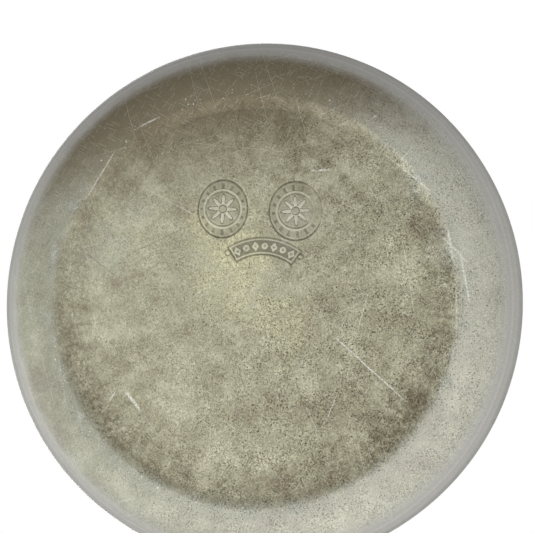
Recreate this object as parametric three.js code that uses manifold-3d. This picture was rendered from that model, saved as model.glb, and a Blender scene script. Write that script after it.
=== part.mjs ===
// A lidded pewter tankard of quart size, as its separate castings: drum, foot, base disc, hollow handle, five-lug
// hinge and double-domed lid. Millimetres, +Z up, the drum's axis on Z, the handle towards +X, z = 0 on the table.
import * as THREE from "three";
import { mergeVertices } from "three/addons/utils/BufferGeometryUtils.js";
import Module from "manifold-3d";

const wasm = await Module();
wasm.setup();

// Driving dimensions

const solderGap = 0.3; // between two castings that are soldered together
const runningGap = 0.4; // round a part that turns past another

const footSpread = 10.8; // how far the foot's widest circle stands out from the drum's foot
const footWidestHeight = 9; // its height above the table
const footNoseDepth = 6; // the rounded nose above the widest circle
const footNoseRise = 6.5;
const footStep = 1.4; // the square fillet over the nose
const footWall = 2.6;
const footCollarRise = 6; // the hollow curve up to the drum
const footCollarDepth = 1.5; // how far the collar stands out from the drum
const footBeadRadius = 1.2;
const contactInset = 13.9; // from the widest circle in to the worn land that the foot stands on
const contactWidth = 1.8;
const seatInset = 3; // from the land in to the crease where the base disc meets the foot
const seatHeight = 3;

const discThickness = 2.2;
const discRecess = 0.9; // its underside above the table
const discEdgeRound = 0.5;

const drumHeight = 148.5;
const drumFootRadius = 55.2;
const drumLipRadius = 50;
const drumWall = 2.1;
const lipRound = 0.7;

const lipBandHeight = 6.6; // the reeded band outside the lip
const lipBandDepth = 2.4;
const filletHeight = 8.4; // the reeded band round the drum
const filletDepth = 2.4;
const filletMiddle = 66;

const lidOverhang = 1.4; // the flange past the lip band
const lidWall = 2;
const lidFlangeWidth = 5.5;
const lidStepRise = 7.5; // the lower dome
const lidStepDepth = 7;
const lidScotiaDepth = 3; // the hollow between the domes
const lidScotiaRise = 1.6;
const lidDomeRise = 10.5; // the upper dome
const bezelHeight = 4.5;
const bezelWall = 1.2;
const bezelClearance = 1.1;

const hingeWidth = 24;
const lugCount = 5;
const lugRadius = 4.2;
const pinRadius = 1.5;
const pinClearance = 0.2;
const hingeRise = 2.2; // the pin's height over the lip
const capThickness = 1.6;
const strapThickness = 2.4;
const strapRear = 0.4; // behind the pin, so that the open lid clears the handle's block

const thumbHeight = 25;
const thumbWidth = 25;
const thumbThickness = 3;
const thumbLeanDegrees = 9;

const handleWidth = 17;
const handleDepth = 11.5;
const handleTaper = 0.58; // the tail's share of the full section
const handleWall = 1.9;
const handleReach = 45; // from the drum to the centre of the grip
const socketHeight = 17;
const socketWidth = 20;
const socketDepth = 5;
const socketRim = 1.2; // how far it laps over the handle's end
const strutHeight = 52; // above the table
const strutReach = 10; // from the drum to the handle's lower bend
const strutRadius = 4.4;
const tailReach = 14; // from the drum's foot to the tail
const terminalRadius = 6.2;
const terminalClearance = 2; // from the ball down to the foot

const roundSteps = 40; // facets of the large turned pieces
const smallSteps = 20; // facets of the pin, lugs and struts
const handleSides = 12;
const handleStations = 26;

// Heights and radii that follow

const footRadius = drumFootRadius + footSpread;
const contactRadius = footRadius - contactInset;
const seatRadius = contactRadius - seatInset;
const discTop = discRecess + discThickness;
const drumFoot = seatHeight + solderGap;
const lip = drumFoot + drumHeight;
const lidSeat = lip + solderGap;
const flangeTop = lidSeat + lidWall;
const lipBandRadius = drumLipRadius + lipBandDepth;
const flangeRadius = lipBandRadius + lidOverhang;
const domeFootRadius = flangeRadius - lidFlangeWidth;
const hingeX = flangeRadius + runningGap + lugRadius;
const hingeZ = lip + hingeRise;
const lugPitch = (hingeWidth + runningGap) / lugCount;
const collarTop = footWidestHeight + footNoseRise + footStep + footCollarRise + 2 * footBeadRadius;
const terminalLength = terminalRadius * 2.1;

function drumRadiusAt(z) {
  return drumFootRadius + ((drumLipRadius - drumFootRadius) * (z - drumFoot)) / drumHeight;
}

// Shape helpers

// Points along an elliptical arc in the radius-height plane, angles in degrees from the radius axis.
function arc(centreR, centreZ, radiusR, radiusZ, from, to, steps) {
  return Array.from({ length: steps + 1 }, (_, i) => {
    const a = THREE.MathUtils.degToRad(from + ((to - from) * i) / steps);
    return [centreR + radiusR * Math.cos(a), centreZ + radiusZ * Math.sin(a)];
  });
}

function signedArea(points) {
  return points.reduce((sum, [r, z], i) => {
    const [nextR, nextZ] = points[(i + 1) % points.length];
    return sum + r * nextZ - nextR * z;
  }, 0);
}

// A solid turned round Z from a closed outline of [radius, height] points.
function turned(outline, steps = roundSteps) {
  const points = signedArea(outline) > 0 ? [...outline] : [...outline].reverse();
  const clear = points.filter(([r, z], i) => {
    const [lastR, lastZ] = points[(i + points.length - 1) % points.length];
    return Math.hypot(r - lastR, z - lastZ) > 1e-4;
  });
  const onAxis = clear.findIndex(([r], i) => r < 1e-6 && clear[(i + 1) % clear.length][0] > 1e-6);
  const start = Math.max(onAxis, 0);
  const ordered = [...clear.slice(start), ...clear.slice(0, start)];
  if (onAxis < 0) ordered.push(ordered[0]);
  const profile = ordered.map(([r, z]) => new THREE.Vector2(r, z));
  return new THREE.LatheGeometry(profile, steps).rotateX(Math.PI / 2);
}

// A cylinder along Y, centred at (x, y, z).
function barAcross(radius, length, x, y, z, steps = smallSteps) {
  return new THREE.CylinderGeometry(radius, radius, length, steps).translate(x, y, z);
}

// A plate of a closed [x, z] outline, as wide as width along Y and centred on it.
function plateAcross(outline, width) {
  const shape = new THREE.Shape(outline.map(([x, z]) => new THREE.Vector2(x, z)));
  return new THREE.ExtrudeGeometry(shape, { depth: width, bevelEnabled: false })
    .translate(0, 0, -width / 2)
    .rotateX(Math.PI / 2);
}

function solidOf(geometry) {
  const bare = new THREE.BufferGeometry();
  const source = geometry.index ? geometry.toNonIndexed() : geometry;
  bare.setAttribute("position", source.getAttribute("position"));
  const merged = mergeVertices(bare, 1e-3);
  return new wasm.Manifold(
    new wasm.Mesh({
      numProp: 3,
      vertProperties: merged.attributes.position.array,
      triVerts: new Uint32Array(merged.index.array),
    }),
  );
}

function geometryOf(solid) {
  const mesh = solid.getMesh();
  const geometry = new THREE.BufferGeometry();
  geometry.setAttribute("position", new THREE.BufferAttribute(mesh.vertProperties, mesh.numProp));
  geometry.setIndex(new THREE.BufferAttribute(mesh.triVerts, 1));
  geometry.computeVertexNormals();
  return geometry;
}

function joined(geometries) {
  return geometries.map(solidOf).reduce((all, solid) => all.add(solid));
}

function less(solid, cutters) {
  return cutters.map(solidOf).reduce((rest, cutter) => rest.subtract(cutter), solid);
}

// Materials

const pewter = (name, colour, roughness) =>
  new THREE.MeshStandardMaterial({ name, color: colour, roughness, metalness: 0.85 });
const bodyPewter = pewter("body_pewter", 0x9c9a8a, 0.45);
const basePewter = pewter("base_pewter", 0xa39f86, 0.5);
const handlePewter = pewter("handle_pewter", 0x97958a, 0.42);
const pinIron = pewter("pin_iron", 0x5b5650, 0.6);

const tankard = new THREE.Group();
tankard.name = "pewter_tankard";

function addPiece(name, geometry, material) {
  const mesh = new THREE.Mesh(geometry, material);
  mesh.name = name;
  tankard.add(mesh);
}

// Foot, base disc and drum

function footOutline() {
  const landOut = contactRadius + contactWidth / 2;
  const landIn = contactRadius - contactWidth / 2;
  const noseTop = footWidestHeight + footNoseRise;
  const noseCentre = footRadius - footNoseDepth;
  const stepTop = noseTop + footStep;
  const stepRadius = noseCentre - 0.6;
  const collarRadius = drumRadiusAt(collarTop) + footCollarDepth;
  const curveTop = stepTop + footCollarRise;
  const collarInner = (z) => drumRadiusAt(z) + solderGap;
  const insideRadius = footRadius - footWall;
  const landInside = landOut + 1;
  return [
    [seatRadius, discRecess],
    [landIn, 0],
    ...arc(landOut, footWidestHeight, footRadius - landOut, footWidestHeight, -90, 0, 5),
    ...arc(noseCentre, footWidestHeight, footNoseDepth, footNoseRise, 0, 90, 3),
    [stepRadius, noseTop],
    [stepRadius, stepTop],
    ...arc(stepRadius, curveTop, stepRadius - collarRadius, footCollarRise, -90, -180, 3),
    ...arc(collarRadius, curveTop + footBeadRadius, footBeadRadius, footBeadRadius, -90, 90, 3),
    [collarInner(collarTop), collarTop],
    [collarInner(curveTop - 2), curveTop - 2],
    [noseCentre - 2, noseTop - footWall + 0.6],
    ...arc(noseCentre, footWidestHeight, insideRadius - noseCentre, footNoseRise - footWall, 90, 0, 2),
    ...arc(landInside, footWidestHeight, insideRadius - landInside, footWidestHeight - seatHeight, 0, -90, 3),
    [seatRadius, seatHeight],
  ];
}

function discOutline() {
  const rim = seatRadius - solderGap;
  return [
    [0, discRecess],
    [rim - discEdgeRound, discRecess],
    [rim, discRecess + discEdgeRound],
    [rim, discTop],
    [0, discTop],
  ];
}

function drumOutline() {
  const inner = (z) => drumRadiusAt(z) - drumWall;
  return [
    [inner(drumFoot), drumFoot],
    [drumRadiusAt(drumFoot), drumFoot],
    [drumRadiusAt(lip - lipRound), lip - lipRound],
    [drumLipRadius - lipRound, lip],
    [inner(lip) + lipRound, lip],
    [inner(lip - lipRound), lip - lipRound],
  ];
}

// A reeded ring that hugs the drum: a large reed between two small ones.
function reededBand(bottom, height, depth) {
  const smallReed = height * 0.26;
  const largeReed = height - 2 * smallReed;
  const top = bottom + height;
  const innerAt = (z) => drumRadiusAt(z) + solderGap;
  const rootAt = (z) => innerAt(z) + depth * 0.3;
  const reed = (from, size, reach) =>
    arc(rootAt(from + size / 2), from + size / 2, reach - depth * 0.3 - solderGap, size / 2, -80, 80, 3);
  return [
    [innerAt(bottom), bottom],
    ...reed(bottom, smallReed, depth * 0.75),
    ...reed(bottom + smallReed, largeReed, depth),
    ...reed(top - smallReed, smallReed, depth * 0.75),
    [innerAt(top), top],
  ];
}

addPiece("foot_moulding", turned(footOutline()), bodyPewter);
addPiece("base_disc", turned(discOutline()), basePewter);
addPiece("drum", turned(drumOutline()), bodyPewter);
addPiece("body_fillet", turned(reededBand(filletMiddle - filletHeight / 2, filletHeight, filletDepth)), bodyPewter);
addPiece("lip_band", turned(reededBand(lip - lipBandHeight, lipBandHeight, lipBandDepth)), bodyPewter);

// Lid

function lidOutline() {
  const stepTop = flangeTop + lidStepRise;
  const scotiaRadius = domeFootRadius - lidStepDepth;
  const domeRadius = scotiaRadius - lidScotiaDepth;
  const domeFoot = stepTop + lidScotiaRise;
  const outside = [
    [flangeRadius - 0.6, lidSeat],
    ...arc(flangeRadius - 0.6, lidSeat + lidWall / 2, 0.6, lidWall / 2, -60, 60, 2),
    [flangeRadius - 0.6, flangeTop],
    [domeFootRadius, flangeTop],
    ...arc(scotiaRadius, flangeTop, lidStepDepth, lidStepRise, 0, 90, 4),
    ...arc(scotiaRadius, domeFoot, lidScotiaDepth, lidScotiaRise, -90, -180, 2),
    ...arc(0, domeFoot, domeRadius, lidDomeRise, 0, 90, 6),
  ];
  const inside = [
    ...arc(0, domeFoot - lidWall, domeRadius - lidWall, lidDomeRise, 90, 20, 5),
    ...arc(scotiaRadius - 0.8, flangeTop, lidStepDepth - lidWall + 0.8, lidStepRise - lidWall, 90, 0, 3),
    [domeFootRadius - lidWall, lidSeat],
  ];
  return [...outside, ...inside];
}

function bezelOutline() {
  const outer = drumLipRadius - drumWall - bezelClearance;
  const tongue = Math.min(outer, domeFootRadius - lidWall - solderGap);
  const inner = tongue - bezelWall;
  const top = lidSeat - solderGap;
  const bottom = top - bezelHeight;
  const tongueTop = flangeTop + 0.4;
  return [
    [inner, bottom],
    [outer - 0.5, bottom],
    [outer, bottom + 0.5],
    [outer, top],
    [tongue, top],
    [tongue, tongueTop],
    [inner, tongueTop],
  ];
}

addPiece("lid_dome", turned(lidOutline()), bodyPewter);
addPiece("lid_bezel", turned(bezelOutline()), bodyPewter);

// Handle: a hollow casting that tapers along an S curve in the XZ plane

const handleStart = drumRadiusAt(lip) + socketDepth + 3;
const handleTopZ = lip - lipBandHeight - handleDepth / 2 - 3;
const gripX = drumRadiusAt(lip / 2) + handleReach;
const strutX = drumRadiusAt(strutHeight) + strutReach;
const tailX = drumFootRadius + tailReach;
const tailZ = footWidestHeight + footNoseRise + footStep + terminalClearance + terminalLength;
const gripReach = gripX - handleStart;
const gripDrop = handleTopZ - strutHeight;
const tailDrop = strutHeight - tailZ;

const handlePath = new THREE.CatmullRomCurve3(
  [
    [handleStart, handleTopZ],
    [handleStart + gripReach * 0.23, handleTopZ + gripDrop * 0.018],
    [handleStart + gripReach * 0.56, handleTopZ - gripDrop * 0.016],
    [handleStart + gripReach * 0.86, handleTopZ - gripDrop * 0.14],
    [gripX, handleTopZ - gripDrop * 0.34],
    [gripX - gripReach * 0.08, handleTopZ - gripDrop * 0.56],
    [gripX - gripReach * 0.33, handleTopZ - gripDrop * 0.72],
    [strutX + gripReach * 0.14, strutHeight + gripDrop * 0.14],
    [strutX + 0.6, strutHeight - 1],
    [strutX + (tailX - strutX) * 0.3, strutHeight - tailDrop * 0.55],
    [tailX + 2, tailZ],
  ].map(([x, z]) => new THREE.Vector3(x, 0, z)),
  false,
  "centripetal",
);

// The handle's tapering oval: a cylinder carried onto the curve. grow widens it, and stretch runs it past both ends.
function handleBar(grow, stretch) {
  const bar = new THREE.CylinderGeometry(1, 1, 1, handleSides, handleStations);
  const position = bar.getAttribute("position");
  const across = new THREE.Vector3(0, 1, 0);
  for (let i = 0; i < position.count; i += 1) {
    const along = THREE.MathUtils.clamp(0.5 - position.getY(i), 0, 1);
    const tangent = handlePath.getTangentAt(along);
    const out = new THREE.Vector3().crossVectors(tangent, across).normalize();
    const size = 1 + (handleTaper - 1) * along;
    const overrun = along === 0 ? -stretch : along === 1 ? stretch : 0;
    const point = handlePath.getPointAt(along)
      .addScaledVector(tangent, overrun)
      .addScaledVector(across, position.getX(i) * ((handleWidth / 2) * size + grow))
      .addScaledVector(out, position.getZ(i) * ((handleDepth / 2) * size + grow));
    position.setXYZ(i, point.x, point.y, point.z);
  }
  return bar;
}

const handleClear = handleBar(solderGap, solderGap);
const drumClear = turned([
  [0, drumFoot - 5],
  [drumRadiusAt(drumFoot - 5) + solderGap, drumFoot - 5],
  [drumRadiusAt(lip + 5) + solderGap, lip + 5],
  [0, lip + 5],
]);

addPiece("handle_shell", geometryOf(less(solidOf(handleBar(0, 0)), [handleBar(-handleWall, 1)])), handlePewter);

// The socket that joins the handle's upper end to the drum, and the strut at its lower bend
function socketBody(grow) {
  const from = drumRadiusAt(handleTopZ) - 6;
  const until = handleStart + socketRim + grow;
  return new THREE.CylinderGeometry(0.5, 0.5, until - from, smallSteps)
    .rotateZ(Math.PI / 2)
    .scale(1, socketWidth + 2 * grow, socketHeight + 2 * grow)
    .translate((from + until) / 2, 0, handleTopZ);
}

function socketGeometry() {
  return geometryOf(less(solidOf(socketBody(0)), [drumClear, handleClear]));
}

function strutGeometry() {
  const from = drumRadiusAt(strutHeight) - 6;
  const stem = new THREE.CylinderGeometry(strutRadius, strutRadius + 1.2, strutX - from, smallSteps)
    .rotateZ(-Math.PI / 2)
    .translate((from + strutX) / 2, 0, strutHeight);
  return geometryOf(less(solidOf(stem), [drumClear, handleClear]));
}

function terminalGeometry() {
  const end = handlePath.getPointAt(1);
  const tangent = handlePath.getTangentAt(1);
  const neck = terminalRadius * 0.56;
  const outline = [
    [0, 0],
    [neck, 0],
    [neck + 0.9, 0.7],
    [neck + 0.9, 1.5],
    [neck, 2.2],
    ...arc(0, terminalLength - terminalRadius, terminalRadius, terminalRadius, -50, 90, 6),
  ];
  const turn = new THREE.Quaternion().setFromUnitVectors(new THREE.Vector3(0, 0, 1), tangent);
  return turned(outline, smallSteps)
    .applyQuaternion(turn)
    .translate(end.x + tangent.x * solderGap, 0, end.z + tangent.z * solderGap);
}

addPiece("handle_socket", socketGeometry(), handlePewter);
addPiece("handle_strut", strutGeometry(), handlePewter);
addPiece("handle_terminal", terminalGeometry(), handlePewter);

// Hinge: the handle carries lugs 0, 2 and 4, the lid lugs 1 and 3

const lugY = (index) => (index - (lugCount - 1) / 2) * lugPitch;
const allLugs = Array.from({ length: lugCount }, (_, index) => index);
const handleLugs = allLugs.filter((index) => index % 2 === 0);
const lidLugs = allLugs.filter((index) => index % 2 === 1);
const lugAt = (index) => barAcross(lugRadius, lugPitch - runningGap, hingeX, lugY(index), hingeZ);
const lugRoom = (index) => barAcross(lugRadius + runningGap, lugPitch + runningGap, hingeX, lugY(index), hingeZ);
const bore = barAcross(pinRadius + pinClearance, hingeWidth + 4, hingeX, 0, hingeZ);

function handleHingeGeometry() {
  const front = flangeRadius + runningGap;
  const back = hingeX + lugRadius;
  const block = plateAcross(
    [
      [front, hingeZ - 1],
      [front, handleTopZ + 2],
      [back + 3, handleTopZ + 2],
      [back, hingeZ - 1],
    ],
    hingeWidth,
  );
  const side = handleWidth / 2 + 1;
  const foot = handleTopZ - 2;
  const wedge = plateAcross([[front - 1, foot], [back + 5, foot], [back + 5, hingeZ - 6], [front - 1, hingeZ - 6]],
    hingeWidth + 2);
  const trimmed = [1, -1].map((way) => wedge.clone().translate(0, way * (side + hingeWidth / 2 + 1), 0));
  const body = less(solidOf(block), [...trimmed, handleClear, socketBody(solderGap)]);
  const withLugs = handleLugs.map(lugAt).map(solidOf).reduce((all, lug) => all.add(lug), body);
  return geometryOf(less(withLugs, [...lidLugs.map(lugRoom), bore]));
}

function strapGeometry() {
  const underside = flangeTop + solderGap;
  const top = hingeZ + lugRadius + runningGap + strapThickness;
  const plate = plateAcross(
    [
      [domeFootRadius + 0.6, underside],
      [hingeX, underside],
      [hingeX, hingeZ + lugRadius - 0.5],
      [hingeX + strapRear, hingeZ + lugRadius - 0.5],
      [hingeX + strapRear, top],
      [hingeX - lugRadius - 1.5, top],
      [domeFootRadius + 0.6, underside + strapThickness * 0.7],
    ],
    3 * lugPitch - runningGap,
  );
  const withLugs = joined([plate, ...lidLugs.map(lugAt)]);
  return geometryOf(less(withLugs, [...handleLugs.map(lugRoom), bore]));
}

// The pierced thumbpiece, a chair-back plate that stands on the strap
function thumbpieceGeometry() {
  const half = thumbWidth / 2;
  const outline = new THREE.Shape();
  outline.moveTo(-half * 0.42, 0);
  outline.lineTo(half * 0.42, 0);
  outline.bezierCurveTo(half * 0.5, thumbHeight * 0.3, half, thumbHeight * 0.35, half, thumbHeight * 0.66);
  outline.bezierCurveTo(half, thumbHeight * 0.9, half * 0.5, thumbHeight * 0.86, 0, thumbHeight);
  outline.bezierCurveTo(-half * 0.5, thumbHeight * 0.86, -half, thumbHeight * 0.9, -half, thumbHeight * 0.66);
  outline.bezierCurveTo(-half, thumbHeight * 0.35, -half * 0.5, thumbHeight * 0.3, -half * 0.42, 0);
  [1, -1].forEach((way) => {
    const hole = new THREE.Path();
    hole.absellipse(way * half * 0.48, thumbHeight * 0.62, half * 0.22, thumbHeight * 0.16, 0, 2 * Math.PI, false, 0);
    outline.holes.push(hole);
  });
  const plate = new THREE.ExtrudeGeometry(outline, {
    depth: thumbThickness - 1,
    bevelThickness: 0.5,
    bevelSize: 0.5,
    bevelOffset: -0.5,
    bevelSegments: 1,
    curveSegments: 7,
  });
  const base = hingeZ + lugRadius + runningGap + strapThickness + solderGap;
  return plate
    .translate(0, 0, -(thumbThickness - 1) / 2)
    .rotateX(Math.PI / 2)
    .rotateZ(Math.PI / 2)
    .rotateY(THREE.MathUtils.degToRad(thumbLeanDegrees))
    .translate(hingeX - lugRadius * 0.62, 0, base + 0.3);
}

function capGeometry(way) {
  const outline = [
    [0, 0],
    [lugRadius - 0.3, 0],
    [lugRadius - 0.3, capThickness * 0.35],
    ...arc(0, capThickness * 0.35, lugRadius - 0.3, capThickness * 0.65, 15, 90, 4),
  ];
  return turned(outline, smallSteps)
    .rotateX((-way * Math.PI) / 2)
    .translate(hingeX, way * (hingeWidth / 2 + solderGap), hingeZ);
}

addPiece("handle_hinge_block", handleHingeGeometry(), handlePewter);
addPiece("lid_hinge_strap", strapGeometry(), bodyPewter);
addPiece("thumbpiece", thumbpieceGeometry(), handlePewter);
addPiece("hinge_pin", barAcross(pinRadius, hingeWidth, hingeX, 0, hingeZ), pinIron);
addPiece("hinge_cap_left", capGeometry(1), handlePewter);
addPiece("hinge_cap_right", capGeometry(-1), handlePewter);

export default tankard;
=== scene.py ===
import math

import bmesh
import bpy
import numpy as np
from mathutils import Matrix, Vector, noise


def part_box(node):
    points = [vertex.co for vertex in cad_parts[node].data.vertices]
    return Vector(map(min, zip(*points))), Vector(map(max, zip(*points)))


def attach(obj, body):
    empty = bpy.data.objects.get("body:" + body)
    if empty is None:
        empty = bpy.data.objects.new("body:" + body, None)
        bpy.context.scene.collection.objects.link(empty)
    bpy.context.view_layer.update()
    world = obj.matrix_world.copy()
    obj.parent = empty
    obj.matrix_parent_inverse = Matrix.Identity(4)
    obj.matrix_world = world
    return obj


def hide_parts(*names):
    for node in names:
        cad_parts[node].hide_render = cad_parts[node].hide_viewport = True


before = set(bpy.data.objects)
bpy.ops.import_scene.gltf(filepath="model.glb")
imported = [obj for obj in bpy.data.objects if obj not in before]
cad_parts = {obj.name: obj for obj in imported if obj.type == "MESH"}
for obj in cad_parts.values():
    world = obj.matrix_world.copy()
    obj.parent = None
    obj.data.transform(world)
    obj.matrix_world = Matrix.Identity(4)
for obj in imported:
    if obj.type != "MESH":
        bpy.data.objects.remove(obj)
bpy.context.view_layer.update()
millimetre = 0.001


# Camera, light and floor

baseView = {
    "distance": 0.42,  # from the camera to the base disc
    "lens": 114.4,  # on the 36 mm sensor
    "side": -0.00325,  # where the base's centre lies from the middle of the view
    "rise": -0.0085,
    "leanAside": 0.165,  # how the drum's axis leans in the view
    "leanDown": 0.065,
}


def makeCamera(given):
    lean = Vector((given["leanAside"], -given["leanDown"], 0))
    lean.z = -math.sqrt(1 - lean.length_squared)
    handleWay = Vector((0, -1, 0))
    handleWay = (handleWay - lean * handleWay.dot(lean)).normalized()
    across = lean.cross(handleWay)
    turn = Matrix((handleWay, across, lean)).transposed()  # part to camera
    spot = Vector((given["side"], given["rise"], -given["distance"]))
    basePoint = Vector((0, 0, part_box("base_disc")[0].z))
    place = turn.to_4x4()
    place.translation = spot - turn @ basePoint
    data = bpy.data.cameras.new("baseCamera")
    data.sensor_width = 36
    data.lens = given["lens"]
    data.clip_start = 0.01
    camera = bpy.data.objects.new("baseCamera", data)
    camera.matrix_world = place.inverted()
    bpy.context.scene.collection.objects.link(camera)
    bpy.context.scene.camera = camera


# Each input of a node takes another node's socket or a plain value.
def wire(tree, node, wires):
    for key, value in wires.items():
        if isinstance(value, bpy.types.NodeSocket):
            tree.links.new(value, node.inputs[key])
        else:
            node.inputs[key].default_value = value


def add(tree, kind, wires=None, **settings):
    node = tree.nodes.new(kind)
    for key, value in settings.items():
        setattr(node, key, value)
    wire(tree, node, wires or {})
    return node


def makeLight(name, place, target, size, power, tint=(1, 1, 1)):
    data = bpy.data.lights.new(name, "AREA")
    data.shape = "RECTANGLE"
    data.size, data.size_y = size
    data.energy = power
    data.color = tint
    light = bpy.data.objects.new(name, data)
    light.location = place
    light.rotation_euler = (Vector(target) - Vector(place)).to_track_quat("-Z", "Y").to_euler()
    bpy.context.scene.collection.objects.link(light)


def makeWorld():
    world = bpy.data.worlds.new("studioWorld")
    world.use_nodes = True
    tree = world.node_tree
    tree.nodes.clear()
    ray = add(tree, "ShaderNodeLightPath")
    way = add(tree, "ShaderNodeTexCoord").outputs["Generated"]
    slope = add(tree, "ShaderNodeVectorMath", {0: way, 1: (0.11, -0.17, 0)}, operation="DOT_PRODUCT")
    shade = add(tree, "ShaderNodeMath", {0: slope.outputs["Value"], 1: 0.55}, operation="ADD")
    soft = add(tree, "ShaderNodeBackground", {0: (0.94, 0.96, 1.0, 1), 1: shade.outputs[0]})
    plain = add(tree, "ShaderNodeBackground", {0: (1, 1, 1, 1), 1: 1.0})
    pick = add(tree, "ShaderNodeMixShader",
               {0: ray.outputs["Is Camera Ray"], 1: soft.outputs[0], 2: plain.outputs[0]})
    add(tree, "ShaderNodeOutputWorld", {0: pick.outputs[0]})
    bpy.context.scene.world = world


# The floor is seen from above only, so that the base can be looked at from below.
def makeFloor():
    mesh = bpy.data.meshes.new("floor")
    side = 2.5
    corners = [(-side, -side, 0), (side, -side, 0), (side, side, 0), (-side, side, 0)]
    mesh.from_pydata(corners, [], [(0, 1, 2, 3)])
    floor = bpy.data.objects.new("floor", mesh)
    floor.location.z = -0.0002
    bpy.context.scene.collection.objects.link(floor)
    material = bpy.data.materials.new("paleFloor")
    material.use_nodes = True
    tree = material.node_tree
    tree.nodes.clear()
    face = add(tree, "ShaderNodeNewGeometry")
    paint = add(tree, "ShaderNodeBsdfDiffuse", {0: (0.80, 0.80, 0.79, 1)})
    clear = add(tree, "ShaderNodeBsdfTransparent")
    pick = add(tree, "ShaderNodeMixShader",
               {0: face.outputs["Backfacing"], 1: paint.outputs[0], 2: clear.outputs[0]})
    add(tree, "ShaderNodeOutputMaterial", {0: pick.outputs[0]})
    mesh.materials.append(material)
    for ray in ("diffuse", "glossy", "transmission", "shadow"):
        setattr(floor, "visible_" + ray, False)


makeCamera(baseView)
makeWorld()
makeFloor()
makeLight("softboxUnder", (0.30, -0.11, -0.60), (0, 0, 0), (0.9, 0.9), 2.36, (1, 0.985, 0.95))
makeLight("fillUnder", (0.12, 0.46, -0.32), (0, 0, 0), (0.5, 0.4), 1.8, (0.93, 0.96, 1))
makeLight("softboxAbove", (0.22, 0.32, 1.05), (0, 0, 0.1), (0.6, 0.6), 7.0, (1, 0.98, 0.95))
makeLight("fillAbove", (-0.32, 0.36, 0.90), (0, 0, 0.1), (0.6, 0.5), 3.0, (0.94, 0.97, 1))
bpy.context.scene.view_settings.view_transform = "Standard"
print("stage ready")


# Node helpers, for shader groups and Geometry Nodes alike

def tone(red, green, blue):
    def linear(v):
        v /= 255
        return v / 12.92 if v <= 0.04045 else ((v + 0.055) / 1.055) ** 2.4
    return (linear(red), linear(green), linear(blue), 1)


# An input is given as its socket's kind or, for a plain number, as its usual value.
def newGroup(name, kind, inputs, outputs):
    tree = bpy.data.node_groups.new(name, kind)
    for label, given in inputs.items():
        socket = "Float" if isinstance(given, float) else given
        made = tree.interface.new_socket(name=label, in_out="INPUT", socket_type="NodeSocket" + socket)
        if isinstance(given, float):
            made.default_value = given
    for label, socket in outputs.items():
        tree.interface.new_socket(name=label, in_out="OUTPUT", socket_type="NodeSocket" + socket)
    return tree, tree.nodes.new("NodeGroupInput"), tree.nodes.new("NodeGroupOutput")


def maths(tree, operation, *values, clamp=False):
    node = add(tree, "ShaderNodeMath", dict(enumerate(values)), operation=operation, use_clamp=clamp)
    return node.outputs[0]


def times(tree, *values, **more):
    return maths(tree, "MULTIPLY", *values, **more)


def timesPlus(tree, *values, **more):
    return maths(tree, "MULTIPLY_ADD", *values, **more)


def minus(tree, *values, **more):
    return maths(tree, "SUBTRACT", *values, **more)


def greater(tree, *values):
    return maths(tree, "MAXIMUM", *values)


def vectors(tree, operation, *values, out=0):
    node = add(tree, "ShaderNodeVectorMath", dict(enumerate(values)), operation=operation)
    return node.outputs[out]


def scaled(tree, vector, factor):
    node = add(tree, "ShaderNodeVectorMath", {0: vector, "Scale": factor}, operation="SCALE")
    return node.outputs[0]


def step(tree, value, low, high, start=0.0, end=1.0):
    node = add(tree, "ShaderNodeMapRange", {0: value, 1: low, 2: high, 3: start, 4: end})
    node.interpolation_type = "SMOOTHSTEP"
    return node.outputs[0]


def cloud(tree, vector, scale, detail=2.0, roughness=0.5, distortion=0.0):
    node = add(tree, "ShaderNodeTexNoise", {
        "Vector": vector, "Scale": scale, "Detail": detail, "Roughness": roughness, "Distortion": distortion})
    return node.outputs[0]


# Three smooth values that drift apart, for bending straight patterns.
def drift(tree, vector, scale):
    return add(tree, "ShaderNodeTexNoise", {"Vector": vector, "Scale": scale, "Detail": 2.0}).outputs[1]


def joined(tree, *values):
    return add(tree, "ShaderNodeCombineXYZ", dict(enumerate(values))).outputs[0]


def parted(tree, vector):
    return add(tree, "ShaderNodeSeparateXYZ", {0: vector}).outputs


def fromAxis(tree, place):
    flat = vectors(tree, "MULTIPLY", place, (1, 1, 0))
    return vectors(tree, "LENGTH", flat, out=1)


def attribute(tree, label):
    return add(tree, "ShaderNodeAttribute", attribute_name=label).outputs["Fac"]


def mixed(tree, factor, first, second, mode="MIX"):
    node = add(tree, "ShaderNodeMix", {0: factor, 6: first, 7: second}, data_type="RGBA", blend_type=mode)
    return node.outputs[2]


# Shader groups. Their vectors are in millimetres.

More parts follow.
